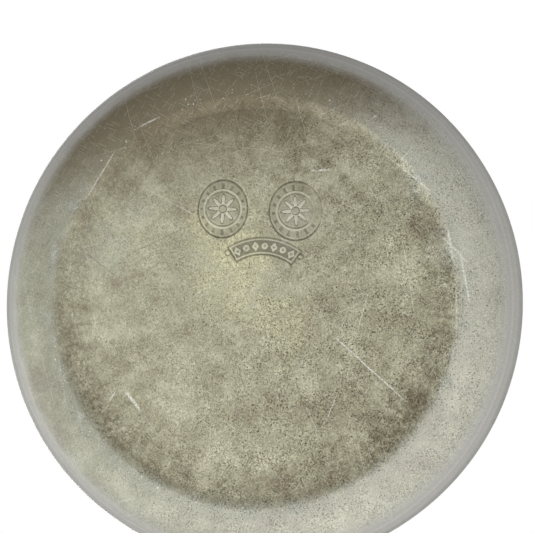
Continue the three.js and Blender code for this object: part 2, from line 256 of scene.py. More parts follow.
def makeTarnish():
    tree, given, made = newGroup("tarnish", "ShaderNodeTree", {
        "Place": "Vector", "Patch Size": 16.0, "Mottle Size": 0.9, "Mottle": 0.5,
        "Bright": "Color", "Middle": "Color", "Dull": "Color",
    }, {"Color": "Color", "Dullness": "Float"})
    place, mottle = given.outputs["Place"], given.outputs["Mottle"]
    patches = cloud(tree, place, maths(tree, "DIVIDE", 1.0, given.outputs["Patch Size"]), 5.0, 0.62, 0.6)
    blotches = cloud(tree, place, maths(tree, "DIVIDE", 3.3, given.outputs["Patch Size"]), 5.0, 0.68)
    grain = cloud(tree, place, maths(tree, "DIVIDE", 1.0, given.outputs["Mottle Size"]), 3.0, 0.75)
    blend = timesPlus(tree, blotches, 0.6, times(tree, patches, 0.6))
    low = mixed(tree, step(tree, blend, 0.46, 0.62), given.outputs["Bright"], given.outputs["Middle"])
    whole = mixed(tree, step(tree, blend, 0.60, 0.80), low, given.outputs["Dull"])
    specks = step(tree, grain, 0.22, 0.78)
    shade = mixed(tree, specks, (0.42, 0.42, 0.40, 1), (1.48, 1.48, 1.50, 1))
    grained = mixed(tree, mottle, whole, mixed(tree, 1.0, whole, shade, "MULTIPLY"))
    tree.links.new(grained, made.inputs["Color"])
    tree.links.new(step(tree, blend, 0.42, 0.75), made.inputs["Dullness"])
    return tree


def makePits():
    tree, given, made = newGroup("pits", "ShaderNodeTree", {
        "Place": "Vector", "Spacing": 1.4, "Size": 0.16, "Crowding": 0.5,
    }, {"Pit": "Float"})
    place = given.outputs["Place"]
    warp = vectors(tree, "ADD", place, scaled(tree, drift(tree, place, 1.1), 0.9))
    cells = add(tree, "ShaderNodeTexVoronoi", {
        "Vector": warp, "Scale": maths(tree, "DIVIDE", 1.0, given.outputs["Spacing"]), "Randomness": 1.0})
    size = maths(tree, "DIVIDE", given.outputs["Size"], given.outputs["Spacing"])
    spot = step(tree, cells.outputs["Distance"], times(tree, size, 0.55), size, 1.0, 0.0)
    pick = add(tree, "ShaderNodeSeparateColor", {0: cells.outputs["Color"]}).outputs[0]
    crowd = step(tree, cloud(tree, place, 0.11, 3.0, 0.6), 0.38, 0.66, 0.15, 1.3)
    few = maths(tree, "LESS_THAN", pick, times(tree, given.outputs["Crowding"], crowd))
    tree.links.new(times(tree, spot, few), made.inputs["Pit"])
    return tree


# Straight fine scratches: each cell of a stretched grid may hold one.
def makeHairlines():
    tree, given, made = newGroup("hairlines", "ShaderNodeTree", {
        "Place": "Vector", "Way": 0.0, "Length": 30.0, "Spacing": 4.0, "Width": 0.08, "Share": 0.4,
    }, {"Line": "Float"})
    way = given.outputs["Way"]
    rotated = add(tree, "ShaderNodeVectorRotate", {"Vector": given.outputs["Place"], "Angle": way},
                  rotation_type="Z_AXIS")
    right, up = parted(tree, rotated.outputs[0])[:2]
    down = maths(tree, "DIVIDE", up, given.outputs["Spacing"])
    row = maths(tree, "FLOOR", down)
    stagger = add(tree, "ShaderNodeTexWhiteNoise", {"W": row}, noise_dimensions="1D").outputs[0]
    along = maths(tree, "ADD", maths(tree, "DIVIDE", right, given.outputs["Length"]), stagger)
    cell = joined(tree, maths(tree, "FLOOR", along), row, way)
    chance = add(tree, "ShaderNodeTexWhiteNoise", {"Vector": cell}, noise_dimensions="3D")
    luck = add(tree, "ShaderNodeSeparateColor", {0: chance.outputs["Color"]}).outputs
    share = maths(tree, "FRACT", along)
    lean = times(tree, minus(tree, luck[2], 0.5), minus(tree, share, 0.5))
    middle = timesPlus(tree, luck[0], 0.4, timesPlus(tree, lean, 1.1, 0.3))
    off = maths(tree, "ABSOLUTE", minus(tree, maths(tree, "FRACT", down), middle))
    line = step(tree, times(tree, off, given.outputs["Spacing"]), 0.0, given.outputs["Width"], 1.0, 0.0)
    ends = times(tree, step(tree, share, 0.04, 0.3), step(tree, share, 0.6, 0.96, 1.0, 0.0))
    shown = times(tree, ends, maths(tree, "LESS_THAN", luck[1], given.outputs["Share"]))
    tree.links.new(times(tree, line, shown), made.inputs["Line"])
    return tree


# One more scratch, from Start along Way, laid over those before it.
def makeScratch():
    tree, given, made = newGroup("scratch", "ShaderNodeTree", {
        "Place": "Vector", "Start": "Vector", "Way": "Vector", "Aside": "Vector",
        "Length": 5.0, "Width": 0.2, "Strength": 1.0, "Before": 0.0,
    }, {"Scratch": "Float"})
    local = vectors(tree, "SUBTRACT", given.outputs["Place"], given.outputs["Start"])
    along = vectors(tree, "DOT_PRODUCT", local, given.outputs["Way"], out=1)
    far = maths(tree, "ABSOLUTE", vectors(tree, "DOT_PRODUCT", local, given.outputs["Aside"], out=1))
    body = step(tree, far, 0.0, given.outputs["Width"], given.outputs["Strength"], 0.0)
    left = maths(tree, "MINIMUM", along, minus(tree, given.outputs["Length"], along))
    whole = times(tree, body, step(tree, left, 0.0, 1.6))
    tree.links.new(greater(tree, whole, given.outputs["Before"]), made.inputs["Scratch"])
    return tree


def scratched(tree, place, marks, share):
    found = 0.0
    for start, end, width, strength in marks:
        start, end = Vector(onBase(*start)), Vector(onBase(*end))
        way = (end - start).normalized()
        found = group(tree, "scratch", {
            "Place": place, "Start": start, "Way": way, "Aside": (-way.y, way.x, 0),
            "Length": (end - start).length, "Width": width, "Strength": strength * share, "Before": found})[0]
    return found


# Rings left by the lathe, round the drum's axis.
def makeTurning():
    tree, given, made = newGroup("turning", "ShaderNodeTree", {
        "Place": "Vector", "Pitch": 0.4,
    }, {"Ring": "Float"})
    level = parted(tree, given.outputs["Place"])["Z"]
    profile = joined(tree, fromAxis(tree, given.outputs["Place"]), level, 0.0)
    ring = cloud(tree, profile, maths(tree, "DIVIDE", 1.0, given.outputs["Pitch"]), 2.0, 0.7)
    tree.links.new(ring, made.inputs["Ring"])
    return tree


groups = {
    "tarnish": makeTarnish(),
    "pits": makePits(),
    "hairlines": makeHairlines(),
    "scratch": makeScratch(),
    "turning": makeTurning(),
}


def group(tree, name, wires):
    return add(tree, "ShaderNodeGroup", wires, node_tree=groups[name]).outputs


reliefDepth = 0.06  # millimetres of bump for a height of 1


def startMaterial(name):
    material = bpy.data.materials.new(name)
    material.use_nodes = True
    tree = material.node_tree
    tree.nodes.clear()
    shader = add(tree, "ShaderNodeBsdfPrincipled")
    add(tree, "ShaderNodeOutputMaterial", {0: shader.outputs[0]})
    place = scaled(tree, add(tree, "ShaderNodeTexCoord").outputs["Object"], 1000.0)
    return material, tree, shader, place


def finishMaterial(tree, shader, colour, roughness, metal, height):
    bump = add(tree, "ShaderNodeBump", {
        "Height": height, "Distance": reliefDepth * millimetre, "Strength": 1.0})
    wire(tree, shader, {
        "Base Color": colour, "Roughness": roughness, "Metallic": metal, "Normal": bump.outputs[0]})


# Pewter that was turned or cast and has aged.
# edge is each piece's own attribute: above 0 on arrises and below 0 in corners.
def agedPewter(name, look):
    material, tree, shader, place = startMaterial(name)
    tarnish = group(tree, "tarnish", {
        "Place": place, "Patch Size": look["patch"], "Mottle Size": look["mottleSize"],
        "Mottle": look["mottle"], "Bright": look["bright"], "Middle": look["middle"], "Dull": look["dull"]})
    pit = group(tree, "pits", {"Place": place, "Spacing": 1.7, "Size": 0.17, "Crowding": look["pits"]})[0]
    x, y, z = parted(tree, place)
    around = times(tree, maths(tree, "ARCTAN2", y, x), look["girth"])
    flat = joined(tree, around, timesPlus(tree, fromAxis(tree, place), 0.7, z))
    lines = group(tree, "hairlines", {
        "Place": flat, "Way": 0.4, "Length": 26.0, "Spacing": 3.1, "Width": 0.10, "Share": look["lines"]})
    cross = group(tree, "hairlines", {
        "Place": flat, "Way": 1.9, "Length": 15.0, "Spacing": 2.3, "Width": 0.09, "Share": look["lines"]})
    scratches = times(tree, greater(tree, lines[0], cross[0]), 0.35)
    ring = group(tree, "turning", {"Place": place, "Pitch": look["pitch"]})[0]
    edge = attribute(tree, "edge")
    handled = step(tree, cloud(tree, place, 0.35, 3.0), 0.3, 0.6, 0.3, 1.0)
    rub = times(tree, step(tree, edge, 0.05, 0.7), handled)
    uncleaned = step(tree, cloud(tree, place, 0.5, 4.0, 0.65), 0.25, 0.55, 0.45, 1.0)
    grime = times(tree, step(tree, edge, -0.5, -0.05, 1.0, 0.0), uncleaned)
    colour = mixed(tree, times(tree, ring, look["ringShade"]), tarnish["Color"], look["dull"])
    colour = mixed(tree, times(tree, rub, 0.55), colour, look["worn"])
    colour = mixed(tree, times(tree, grime, look["grime"]), colour, look["soil"])
    colour = mixed(tree, scratches, colour, look["worn"])
    colour = mixed(tree, times(tree, pit, 0.6), colour, look["pitted"])
    roughness = timesPlus(tree, tarnish["Dullness"], 0.20, look["roughness"])
    roughness = minus(tree, roughness, times(tree, rub, 0.12))
    roughness = timesPlus(tree, greater(tree, grime, pit), 0.25, roughness, clamp=True)
    height = timesPlus(tree, ring, look["ringRelief"], times(tree, pit, -0.9))
    height = minus(tree, height, scratches)
    height = timesPlus(tree, cloud(tree, place, 0.9, 4.0, 0.7), look["unevenness"], height)
    finishMaterial(tree, shader, colour, roughness, look["metal"], height)
    return material


bodyLook = {
    "bright": tone(178, 177, 166), "middle": tone(160, 158, 146), "dull": tone(140, 136, 122),
    "worn": tone(206, 206, 200), "soil": tone(60, 54, 42), "pitted": tone(66, 61, 50),
    "patch": 20.0, "mottleSize": 0.7, "mottle": 0.22, "pits": 0.25, "lines": 0.5,
    "pitch": 0.45, "ringShade": 0.22, "ringRelief": 0.5, "unevenness": 0.9, "grime": 0.85,
    "roughness": 0.33, "metal": 0.88, "girth": 52.0,
}
castLook = {
    **bodyLook, "bright": tone(172, 170, 160), "middle": tone(152, 150, 140), "pitch": 3.0, "ringShade": 0.0,
    "ringRelief": 0.0, "patch": 14.0, "roughness": 0.30, "lines": 0.4, "unevenness": 1.4,
}
pinLook = {
    **castLook, "bright": tone(110, 104, 96), "middle": tone(92, 84, 74), "dull": tone(74, 58, 44),
    "worn": tone(140, 134, 126), "roughness": 0.45, "mottle": 0.6,
}


# The underside: paler and rougher, scratched, stained and dirty where the disc meets the foot.
# Places on it are (right, up) from its middle, as it is looked at with the handle below.

def onBase(right, up):
    return (-up, -right, 0.0)


underside = {
    "bright": tone(186, 182, 158), "middle": tone(167, 164, 139), "dull": tone(148, 138, 117),
    "outerBright": tone(202, 199, 192), "outerDull": tone(182, 180, 173), "worn": tone(226, 225, 214),
    # the foot's two tones hold painted shade on the left and painted light on the right
    "rubbed": tone(174, 176, 165), "shadedFootLeft": tone(132, 131, 118), "litFootRight": tone(198, 197, 186),
    # the stain tone also paints the shade over the top
    "dirt": tone(92, 80, 58), "stainAndShade": tone(116, 106, 84), "bloom": tone(207, 203, 168),
    "cool": tone(168, 172, 163), "cut": tone(74, 70, 56),
    "crease": 48.5, "land": 52.1, "outer": 60.2,  # radii
    "seam": 49.0, "scratchSeam": 47.0,  # how far out a patch or a scratch still belongs to the disc
    "metal": 0.62, "roughness": 0.47,
    "fineLines": (  # way, length, spacing, width, share, strength
        (0.3, 22, 2.6, 0.10, 0.34, 0.36), (1.9, 14, 2.1, 0.09, 0.30, 0.36),
        (1.1, 4.2, 0.8, 0.09, 0.30, 0.34), (2.6, 3.4, 0.7, 0.09, 0.30, 0.34)),
}
paleScratches = [  # start, end, width, strength
    ((20, -8.5), (38, -24.5), 0.27, 1.25), ((-32.5, -22.5), (-28, -28), 0.65, 1.2),
    ((-37, -26), (-34.5, -22.5), 0.4, 0.9), ((-28, -28), (-23, -34.5), 0.22, 0.5),
    ((-28.5, 28.5), (-14.5, 21), 0.18, 0.7), ((13.5, 32.2), (19.6, 32.5), 0.42, 1.0),
    ((6.3, 16.4), (8, 13.6), 0.2, 0.8), ((50.8, 12.5), (53.4, -0.5), 0.4, 1.2),
    ((32, 36.5), (45, 26), 0.3, 0.6), ((46.5, 16), (53, 9), 0.35, 0.9),
    ((-43.5, 25), (-35.5, 38), 0.28, 0.7), ((-30, 43.5), (-24, 46.3), 0.35, 0.8),
    ((28.5, 44.5), (31, 46.3), 0.4, 0.9), ((36, 34), (40, 38.5), 0.3, 0.7),
    ((-8, -29), (3, -37), 0.16, 0.6), ((-20, 40), (8, 37), 0.14, 0.4),
    ((24, -2), (12, -30), 0.14, 0.4), ((28.7, 2.6), (25.9, -7.6), 0.2, 0.9),
    ((33.4, -4.6), (32, -8.9), 0.16, 0.4), ((21.1, -22.7), (18.2, -29.9), 0.22, 0.9),
    ((29.6, -20.1), (27.4, -23.8), 0.2, 0.6), ((20.6, -29.3), (22.1, -31), 0.26, 0.8),
    ((13.2, -25.3), (16.8, -33.3), 0.2, 0.55), ((36.8, 15.6), (38.4, 6), 0.17, 0.8),
    ((38.4, 6), (39.8, -3), 0.16, 0.7), ((47.9, 18), (49.2, 9.5), 0.5, 0.8),
    ((50.1, 3.5), (50.1, -8.5), 0.34, 0.55), ((50, -10), (48.6, -15.5), 0.4, 0.6),
    ((46.2, 4.6), (49.3, 3.4), 0.18, 0.7),
]
darkScratches = [
    ((-3.6, -16), (-1.8, -22.5), 0.26, 0.9), ((-25, -0.5), (-12.3, -18), 0.18, 0.5),
    ((-44, 12.6), (-35, 6), 0.26, 0.7), ((-33, 11), (-11.5, 21.2), 0.24, 0.8),
    ((-2, 24.6), (5, 27.4), 0.18, 0.6), ((-2.4, -17), (1.6, -12.5), 0.2, 0.6),
    ((-30, -4), (-21, 3), 0.15, 0.4), ((15, 8), (29, 2), 0.15, 0.4),
    ((35.2, -8), (31.4, -11.5), 0.2, 0.9),
]
stains = [  # place, reach, strength
    ((14, 33), 18, 0.65), ((-9, -20), 7, 0.5), ((24, 18), 13, 0.35), ((39, -30), 14, 0.4),
    ((33, -10), 11, 0.35), ((-29, -16), 10, 0.45), ((-6, -9), 9, 0.3), ((24, -27), 20, 0.5),
    ((24, 3), 11, 0.35), ((-19, -34), 10, 0.35),
]
blooms = [  # a paler film
    ((-5, 4), 15, 0.65), ((8, -5), 11, 0.5), ((-8, 19), 13, 0.9), ((-2, 10), 10, 0.6),
    ((-34, 14), 10, 0.3), ((9, 25), 9, 0.5),
]
coolPatches = [  # a greyer film
    ((-38, 13), 10, 0.5), ((-30, 22), 6, 0.25), ((41, 29), 7, 0.6), ((49, 14), 8, 0.6),
    ((-48, 26), 6, 0.4), ((33, 41), 6, 0.4), ((-8, 23), 7, 0.35), ((10.4, 22.4), 7.4, 0.35),
]


# Whether a patch reaches the foot or, for the disc's material, the disc.
def reaches(centre, reach, foot):
    away = math.hypot(*centre)
    return away + reach >= underside["seam"] if foot else away - reach <= underside["seam"]


# One material for the disc and one for the foot, which share their stains, dirt and grain.
def undersidePewter(name, look, foot):
    material, tree, shader, place = startMaterial(name)
    flat = vectors(tree, "MULTIPLY", place, (1, 1, 0))
    radius = vectors(tree, "LENGTH", flat, out=1)
    x, y, z = parted(tree, place)
    up = times(tree, x, -1.0)
    right = times(tree, y, -1.0)
    breakup = cloud(tree, place, 0.22, 5.0, 0.68)
    fine = cloud(tree, place, 0.75, 4.0, 0.72)
    patchy = step(tree, timesPlus(tree, breakup, 0.6, times(tree, fine, 0.4)), 0.36, 0.62)
    tarnish = group(tree, "tarnish", {
        "Place": place, "Patch Size": 17.0, "Mottle Size": 0.5, "Mottle": 0.42,
        "Bright": look["bright"], "Middle": look["middle"], "Dull": look["dull"]})
    colour = tarnish["Color"]
    for patches, shade in ((blooms, look["bloom"]), (coolPatches, look["cool"]), (stains, look["stainAndShade"])):
        for centre, reach, strength in patches:
            if reaches(centre, reach, foot):
                away = vectors(tree, "DISTANCE", flat, onBase(*centre), out=1)
                near = times(tree, step(tree, away, reach * 0.25, reach, strength, 0.0), patchy)
                colour = mixed(tree, near, colour, shade)
    if foot:
        # painted light and shade over the foot's own cooler grey: lighter towards the lower right, darker
        # towards the upper left
        across = step(tree, timesPlus(tree, right, 0.9, times(tree, up, -0.45)), -50.0, 50.0)
        footToneAndLight = mixed(tree, across, look["shadedFootLeft"], look["litFootRight"])
        start = timesPlus(tree, breakup, 1.5, radius)
        colour = mixed(tree, step(tree, start, 49.6, 53.4, 0.0, 0.6), colour, footToneAndLight)
    # painted shade and stain: the top, and a little to the left, is painted darker in the stain's tone, with
    # a ragged edge
    rise = timesPlus(tree, up, 0.97, times(tree, right, -0.20))
    topShadeAndStain = step(tree, timesPlus(tree, minus(tree, breakup, 0.5), 18.0, rise), 27.0, 50.0, 0.0, 0.94)
    colour = mixed(tree, topShadeAndStain, colour, look["stainAndShade"])

    # dirt in the crease, heavier at the lower left and right, and spreading further over the disc
    gap = maths(tree, "ABSOLUTE", minus(tree, radius, look["crease"]))
    if foot:
        spread = step(tree, breakup, 0.35, 0.65, 2.0, 7.0)
    else:
        spread = step(tree, breakup, 0.3, 0.65, 5.0, 15.0)
    near = step(tree, gap, 0.0, spread, 1.0, 0.0)
    sides = step(tree, maths(tree, "ABSOLUTE", right), 12.0, 44.0, 0.6, 1.0)
    near = times(tree, times(tree, near, sides), step(tree, up, -30.0, 24.0, 1.0, 0.5))
    dirt = times(tree, near, step(tree, fine, 0.34, 0.64, 0.10, 0.70))
    colour = mixed(tree, dirt, colour, look["dirt"])

    if foot:
        # the land that the foot stands on is rubbed and chipped, the outer roll is cleaner and smoother
        # and painted paler, partly its own pewter and partly painted sheen,
        # and above it the foot turns into the body's pewter
        ridge = step(tree, maths(tree, "ABSOLUTE", minus(tree, radius, look["land"])), 0.3, 2.8, 1.0, 0.0)
        rubbed = times(tree, ridge, step(tree, breakup, 0.48, 0.66, 0.1, 0.7))
        # the rubbed ridge fades under the painted shade at the top
        rubbed = times(tree, rubbed, timesPlus(tree, topShadeAndStain, -1.0, 1.0))
        colour = mixed(tree, rubbed, colour, look["rubbed"])
        ring = group(tree, "turning", {"Place": place, "Pitch": 0.7})[0]
        start = timesPlus(tree, breakup, 1.6, radius)
        outer = step(tree, start, look["outer"], look["outer"] + 4.2)
        lathed = step(tree, ring, 0.35, 0.65, 0.0, 0.8)
        outerToneAndSheen = mixed(tree, lathed, look["outerBright"], look["outerDull"])
        colour = mixed(tree, times(tree, outer, 0.85), colour, outerToneAndSheen)
        grainy = minus(tree, 1.0, times(tree, outer, 0.8))
        side = step(tree, z, 4.5, 9.0)
        colour = mixed(tree, side, colour, mixed(tree, patchy, bodyLook["middle"], bodyLook["bright"]))
    else:
        grainy = minus(tree, 1.0, times(tree, attribute(tree, "mark"), 0.8))

    # fine grain, pits and chips
    speckle = cloud(tree, place, 2.6, 2.0, 0.85)
    heavier = step(tree, timesPlus(tree, right, 0.7, times(tree, up, -0.4)), -34.0, 24.0, 0.45, 1.0)
    if foot:
        heavier = times(tree, heavier, step(tree, radius, 49.0, 53.0, 1.0, 0.62))
    grain = mixed(tree, step(tree, speckle, 0.32, 0.68), (0.44, 0.43, 0.40, 1), (1.42, 1.42, 1.41, 1))
    coarse = times(tree, step(tree, breakup, 0.36, 0.60, 0.5, 1.0), heavier)
    colour = mixed(tree, times(tree, grainy, coarse), colour, mixed(tree, 1.0, colour, grain, "MULTIPLY"))
    pit = group(tree, "pits", {"Place": place, "Spacing": 1.3, "Size": 0.27, "Crowding": 0.42})[0]
    small = group(tree, "pits", {"Place": place, "Spacing": 0.62, "Size": 0.2, "Crowding": 0.8})[0]
    dots = times(tree, times(tree, greater(tree, pit, small), heavier), grainy)

    # scratches, chips and, on the disc, the struck marks
    centred = vectors(tree, "SUBTRACT", flat, (0.2, 0.2, 0))
    bent = vectors(tree, "MULTIPLY_ADD", drift(tree, flat, 0.25), (0.4, 0.4, 0), centred)
    gaps = step(tree, cloud(tree, flat, 1.9, 3.0, 0.8), 0.40, 0.58, 0.2, 1.0)
    own = [line for line in paleScratches if (math.hypot(*line[0]) > look["scratchSeam"]) == foot]
    light = scratched(tree, bent, own, 0.8)
    for way, length, spacing, width, share, strength in look["fineLines"]:
        lines = group(tree, "hairlines", {
            "Place": place, "Way": way, "Length": length, "Spacing": spacing, "Width": width, "Share": share})
        light = greater(tree, light, times(tree, lines[0], strength))
    light = times(tree, light, gaps)
    chips = group(tree, "pits", {"Place": place, "Spacing": 0.85, "Size": 0.27, "Crowding": 0.5})[0]
    often = timesPlus(tree, ridge, step(tree, fine, 0.5, 0.62), 0.10) if foot else 0.10
    light = greater(tree, light, times(tree, chips, often))
    dark = times(tree, dots, 0.9)
    if not foot:
        cuts = times(tree, scratched(tree, bent, darkScratches, 0.8), gaps)
        struck = attribute(tree, "struck")
        dark = greater(tree, greater(tree, dark, cuts), struck)
        light = greater(tree, light, times(tree, struck, -1.0))
    colour = mixed(tree, times(tree, dark, 0.9), colour, look["cut"])
    colour = mixed(tree, light, colour, look["worn"])

    roughness = timesPlus(tree, tarnish["Dullness"], 0.14, look["roughness"])
    roughness = timesPlus(tree, greater(tree, dirt, dots), 0.2, roughness)
    roughness = minus(tree, roughness, times(tree, light, 0.15), clamp=True)
    metal = look["metal"]
    if foot:
        roughness = timesPlus(tree, side, -0.10, roughness)
        metal = timesPlus(tree, side, bodyLook["metal"] - metal, metal)
    height = times(tree, greater(tree, light, dark), -0.8)
    height = timesPlus(tree, times(tree, speckle, grainy), 0.8, height)
    height = timesPlus(tree, fine, 1.0, height)
    if foot:
        height = timesPlus(tree, ring, 0.3, height)
        height = times(tree, height, timesPlus(tree, side, -0.85, 1.0))
    finishMaterial(tree, shader, colour, roughness, metal, height)
    return material


materials = {
    "body": agedPewter("agedBodyPewter", bodyLook),
    "cast": agedPewter("agedCastPewter", castLook),
    "pin": agedPewter("pinIron", pinLook),
    "base": undersidePewter("undersidePewter", underside, False),
    "foot": undersidePewter("footPewter", underside, True),
}
print("materials ready")


# Turned pieces: a closed outline of (radius, height) in millimetres goes round the drum's axis

def mm(corner):
    return Vector(corner) / millimetre


def around(ring):
    return list(zip(ring, ring[1:] + ring[:1]))


def between(low, high):
    return [(a, b, d, c) for (a, b), (c, d) in zip(around(low), around(high))]


def meshOf(name, verts, faces):
    mesh = bpy.data.meshes.new(name)
    mesh.from_pydata([tuple(c * millimetre for c in v) for v in verts], [], faces)
    return mesh


def paint(mesh, label, values):
    made = mesh.attributes.new(label, "FLOAT", "POINT")
    made.data.foreach_set("value", np.array(values, np.float32))


def arc(centreR, centreZ, radiusR, radiusZ, start, end, steps):
    angles = np.radians(np.linspace(start, end, steps + 1))
    return [(centreR + radiusR * math.cos(a), centreZ + radiusZ * math.sin(a)) for a in angles]


# Each corner of an outline becomes a small curve.
def softened(points, reach):
    closed = points[0][0] > 1e-6 or points[-1][0] > 1e-6
    found = []
    count = len(points)
    for i, here in enumerate(points):
        if not closed and i in (0, count - 1):
            found.append(here)
            continue
        here = np.array(here)
        before, after = np.array(points[i - 1]), np.array(points[(i + 1) % count])
        back, on = before - here, after - here
        backLength, onLength = np.linalg.norm(back), np.linalg.norm(on)
        if min(backLength, onLength) < 1e-6:
            continue
        start = here + back / backLength * min(reach, 0.4 * backLength)
        end = here + on / onLength * min(reach, 0.4 * onLength)
        for t in (0.0, 0.33, 0.67, 1.0):
            found.append(tuple((1 - t) ** 2 * start + 2 * t * (1 - t) * here + t * t * end))
    return found, closed


def spaced(points, closed, gap):
    found = []
    for here, after in around(points) if closed else around(points)[:-1]:
        found.append(here)
        cuts = int(math.dist(here, after) // gap)
        way = np.array(after) - np.array(here)
        found += [tuple(np.array(here) + way * k / (cuts + 1)) for k in range(1, cuts + 1)]
    return found if closed else found + points[-1:]


fullBend = 22.0  # degrees at one point that count as a whole corner or arris
bendReach = 0.45  # how far along the outline it shows


# How much an outline bends near each point, from -1 in a corner to 1 on an arris.
def bendsOf(points, closed):
    spots = np.array(points)
    if closed:
        before, after = np.roll(spots, 1, 0), np.roll(spots, -1, 0)
    else:
        before, after = np.vstack([spots[:1], spots[:-1]]), np.vstack([spots[1:], spots[-1:]])
    back, on = spots - before, after - spots
    turn = back[:, 0] * on[:, 1] - back[:, 1] * on[:, 0]
    sizes = np.linalg.norm(back, axis=1) * np.linalg.norm(on, axis=1) + 1e-9
    bend = np.degrees(np.arcsin(np.clip(turn / sizes, -1, 1))) / fullBend
    near = np.linalg.norm(spots[:, None] - spots[None], axis=2)
    weight = np.exp(-(near / bendReach) ** 2)
    return np.clip(weight @ bend, -1, 1)


def turned(name, outline, material, body, nodes, steps=240, reach=0.25, gap=1.6, wobble=0.0, seed=0):
    points, closed = softened(outline, reach)
    points = spaced(points, closed, gap)
    area = sum(a[0] * b[1] - b[0] * a[1] for a, b in around(points))
    if area < 0:
        points = points[::-1]
    edge = bendsOf(points, closed)
    angles = np.linspace(0, 2 * np.pi, steps, endpoint=False)
    verts, edges, rows = [], [], []
    for (r, z), bend in zip(points, edge):
        if r < 1e-6:
            rows.append([len(verts)])
            verts.append((0, 0, z))
            edges.append(bend)
            continue
        rows.append(list(range(len(verts), len(verts) + steps)))
        for a in angles:
            out = Vector((math.cos(a), math.sin(a), 0))
            shift = wobble * noise.noise(Vector((out.x * 2.1 + seed, out.y * 2.1, z * 0.035)))
            verts.append(((r + shift) * out.x, (r + shift) * out.y, z))
            edges.append(bend)
    faces = []
    for low, high in around(rows) if closed else around(rows)[:-1]:
        if len(low) == 1:
            faces += [(low[0], after, here) for here, after in around(high)]
        elif len(high) == 1:
            faces += [(here, after, high[0]) for here, after in around(low)]
        else:
            faces += between(low, high)
    mesh = meshOf(name, verts, faces)
    paint(mesh, "edge", edges)
    return settle(name, mesh, material, body, nodes)


# A finished mesh becomes a piece that rides its body in place of its CAD nodes.
def settle(name, mesh, material, body, nodes):
    mesh.materials.clear()
    mesh.materials.append(material)
    work = bmesh.new()
    work.from_mesh(mesh)
    bmesh.ops.recalc_face_normals(work, faces=work.faces)
    work.to_mesh(mesh)
    work.free()
    mesh.shade_smooth()
    mesh.set_sharp_from_angle(angle=math.radians(50))
    piece = bpy.data.objects.new(name, mesh)
    bpy.context.scene.collection.objects.link(piece)
    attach(piece, body)
    if nodes:
        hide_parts(*nodes)
    print(name, len(mesh.polygons), "faces")
    return piece


# Sizes of the drum, which the foot, the bands and the handle follow

drum = {
    "lipRadius": 50.0, "wall": 2.1, "sides": 216, "rows": 300, "dent": 0.16,
    "lines": (27.6, 28.9, 56.4, 57.6, 74.6, 75.8, 139.6, 141.0), "lineWidth": 0.28, "lineDepth": 0.22,
}


def drumAt(z):
    low, high = mm(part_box("drum")[0]), mm(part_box("drum")[1])
    return high.x + (drum["lipRadius"] - high.x) * (z - low.z) / (high.z - low.z)


# Foot

foot = {
    "landInset": 13.9, "landWidth": 1.8, "seatInset": 3.0, "recess": 0.9, "seat": 3.0, "widest": 9.0,
    "noseDepth": 6.0, "noseRise": 6.5, "step": 1.4, "curve": 6.0, "bead": 1.2, "wall": 2.6,
    "collar": 1.5, "fill": 0.25,
}


def footOutline(given):
    high = mm(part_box("foot_moulding")[1])
    widest = high.x
    land = widest - given["landInset"]
    landIn, landOut = land - given["landWidth"] / 2, land + given["landWidth"] / 2
    seatRadius = land - given["seatInset"] - given["fill"]
    noseTop = given["widest"] + given["noseRise"]
    noseCentre = widest - given["noseDepth"]
    stepTop = noseTop + given["step"]
    stepRadius = noseCentre - 0.6
    curveTop = stepTop + given["curve"]
    top = high.z
    bead = given["bead"]
    collar = drumAt(top) + given["collar"]
    inside = widest - given["wall"]
    recess = given["recess"]
    return [
        # solder fills the crease, thinning out over the disc's rim
        (seatRadius - 1.4, recess + 0.06), (seatRadius - 0.6, recess - 0.03),
        (seatRadius + 0.1, recess - 0.14), (seatRadius + 0.8, recess - 0.36), (landIn, 0),
        *arc(landOut, given["widest"], widest - landOut, given["widest"], -90, 0, 32),
        *arc(noseCentre, given["widest"], given["noseDepth"], given["noseRise"], 0, 90, 20)[1:],
        (stepRadius, noseTop), (stepRadius, stepTop),
        *arc(stepRadius, curveTop, stepRadius - collar, given["curve"], -90, -180, 12),
        *arc(collar, curveTop + bead, bead, bead, -90, 90, 10),
        (drumAt(top) + 0.3, top), (drumAt(curveTop - 2) + 0.3, curveTop - 2),
        (noseCentre - 2, noseTop - given["wall"] + 0.6),
        *arc(noseCentre, given["widest"], inside - noseCentre, given["noseRise"] - given["wall"], 90, 0, 6),
        *arc(landOut + 1, given["widest"], inside - landOut - 1, given["widest"] - given["seat"], 0, -90, 8),
        (seatRadius, given["seat"]),
    ]


turned("foot_casting", footOutline(foot), materials["foot"], "body", ["foot_moulding"],
       steps=420, reach=0.4, gap=1.0, wobble=0.12, seed=3)


# Base disc, with its three struck marks

marks = {
    "left": {"at": (-8.0, 23.0), "half": (6.25, 7.2), "turn": 0.05, "wornFrom": 9.0, "points": 8},
    "right": {"at": (10.4, 22.4), "half": (6.6, 7.3), "turn": -0.06, "wornFrom": 1.2, "points": 8},
    "label": {"middle": (2.0, -0.4), "outer": 16.2, "inner": 12.0, "reach": 35.0, "turn": 3.0, "lozenges": 7},
    "depth": 0.26, "line": 0.20,
}
disc = {
    "arris": 0.4, "unevenness": 0.05,
    "fineAcross": (-0.335, 0.395), "fineUp": (0.185, 0.66),  # where the marks are, in shares of its radius
    "fine": 0.00235, "coarse": 0.03,
}


def dip(distance, width):
    return np.exp(-(distance / width) ** 2)


def smooth(values, low, high):
    t = np.clip((values - low) / (high - low), 0, 1)
    return t * t * (3 - 2 * t)


